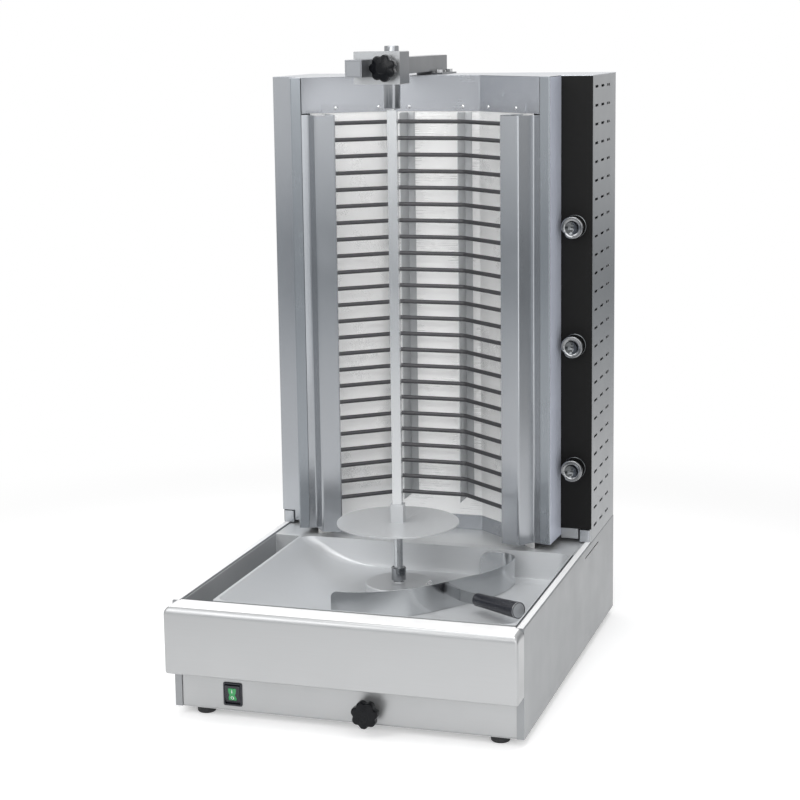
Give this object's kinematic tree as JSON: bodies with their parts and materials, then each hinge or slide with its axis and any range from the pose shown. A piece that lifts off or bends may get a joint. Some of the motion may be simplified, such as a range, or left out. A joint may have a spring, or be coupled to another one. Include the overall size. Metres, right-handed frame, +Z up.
{
  "type": "electric skewer grill",
  "caption": "Upright electric skewer grill with a turning spit, three heating zones, a sliding drive and a fat well in front.",
  "frame": {"origin": "on the floor under the middle of the whole grill", "axes": "+Z up, -Y the front with the well and the switch, +X the side of the control panel"},
  "size_m": [0.53, 0.696, 0.9712],
  "materials": {
    "stainless": "brushed",
    "polished_steel": "polished",
    "element_steel": "oxidised",
    "black_coating": "satin",
    "black_plastic": "matte",
    "gloss_black": "gloss",
    "green_lens": "gloss",
    "chrome_plate": "polished",
    "cast_aluminium": "machined",
    "foot_rubber": "matte",
    "motor_paint": "satin",
    "galvanised": "zinc plated"
  },
  "bodies": {
    "root": {"base_side_left": "stainless", "base_side_right": "stainless", "front_fascia": "stainless", "plinth_front": "stainless", "deck_well": "stainless", "drip_tray": "stainless", "rear_ledge": "stainless", "base_back": "stainless", "bottom_plate": "galvanised", "cable_gland": "black_plastic", "feet": "foot_rubber", "switch_frame": "gloss_black", "slide_rails": "galvanised", "clamp_plug": "galvanised", "tower_side_left": "stainless", "tower_side_right": "stainless", "tower_back": "stainless", "tower_lid": "stainless", "control_panel": "black_coating", "left_front_panel": "stainless", "corner_blocks": "galvanised", "hood_left": "stainless", "hood_right": "stainless", "header": "stainless", "header_strip": "stainless", "header_screws": "stainless", "reflector": "polished_steel", "window_lip": "stainless", "wing_left": "stainless", "wing_right": "stainless", "heating_zone_bottom": "element_steel", "heating_zone_middle": "element_steel", "heating_zone_top": "element_steel", "terminal_plates": "stainless", "rod_supports": "stainless", "zone_regulators": "motor_paint", "arm_bar": "stainless", "arm_caps": "stainless", "arm_foot": "stainless", "arm_bolts": "stainless"},
    "carriage": {"motor_plate": "galvanised", "gear_motor": "motor_paint", "bearing_neck": "stainless", "slot_cover": "stainless", "cover_screws": "stainless", "drawbar": "galvanised"},
    "spit": {"drive_shaft": "stainless", "spit_bar": "stainless", "meat_disc": "stainless"},
    "lower_lock": {"lower_star_knob": "black_plastic"},
    "arm_slider": {"clamp_block": "cast_aluminium"},
    "bushing": {"top_bushing": "stainless"},
    "upper_lock": {"upper_star_knob": "black_plastic"},
    "rocker": {"switch_rocker": "green_lens"},
    "knob_bottom": {"zone_knob_bottom": "chrome_plate"},
    "knob_middle": {"zone_knob_middle": "chrome_plate"},
    "knob_top": {"zone_knob_top": "chrome_plate"},
    "scoop": {"scoop_pan": "stainless", "scoop_tang": "stainless", "scoop_handle": "black_plastic"}
  },
  "joints": [
    {"name": "carriage_slide", "type": "slide", "parent": "root", "child": "carriage", "axis": [0, 1, 0], "range_m": [-0.02, 0.02]},
    {"name": "spit_turn", "type": "hinge", "parent": "carriage", "child": "spit", "pos_m": [0, -0.047, 0.2], "axis": [0, 0, 1], "continuous": true},
    {"name": "arm_slide", "type": "slide", "parent": "root", "child": "arm_slider", "axis": [0, 1, 0], "range_m": [-0.02, 0.02]},
    {"name": "bushing_lift", "type": "slide", "parent": "arm_slider", "child": "bushing", "axis": [0, 0, 1], "range_m": [0, 0.035]},
    {"name": "upper_lock_turn", "type": "hinge", "parent": "arm_slider", "child": "upper_lock", "pos_m": [0, -0.0705, 0.939], "axis": [0, -1, 0], "range_deg": [0, 360]},
    {"name": "lower_lock_turn", "type": "hinge", "parent": "root", "child": "lower_lock", "pos_m": [0.036, -0.31, 0.0335], "axis": [0, -1, 0], "range_deg": [0, 360]},
    {"name": "rocker_tilt", "type": "hinge", "parent": "root", "child": "rocker", "pos_m": [-0.174, -0.31, 0.038], "axis": [1, 0, 0], "range_deg": [-16, 0]},
    {"name": "knob_bottom_turn", "type": "hinge", "parent": "root", "child": "knob_bottom", "pos_m": [0.238, 0.146, 0.2975], "axis": [0, 1, 0], "range_deg": [0, 270]},
    {"name": "knob_middle_turn", "type": "hinge", "parent": "root", "child": "knob_middle", "pos_m": [0.238, 0.146, 0.4975], "axis": [0, 1, 0], "range_deg": [0, 270]},
    {"name": "knob_top_turn", "type": "hinge", "parent": "root", "child": "knob_top", "pos_m": [0.238, 0.146, 0.6865], "axis": [0, 1, 0], "range_deg": [0, 270]},
    {"name": "scoop_lift", "type": "slide", "parent": "root", "child": "scoop", "axis": [0, 0, 1], "range_m": [0, 0.05]}
  ],
  "couplings": [
    {"joint": "arm_slide", "follows": "carriage_slide", "ratio": 1}
  ]
}
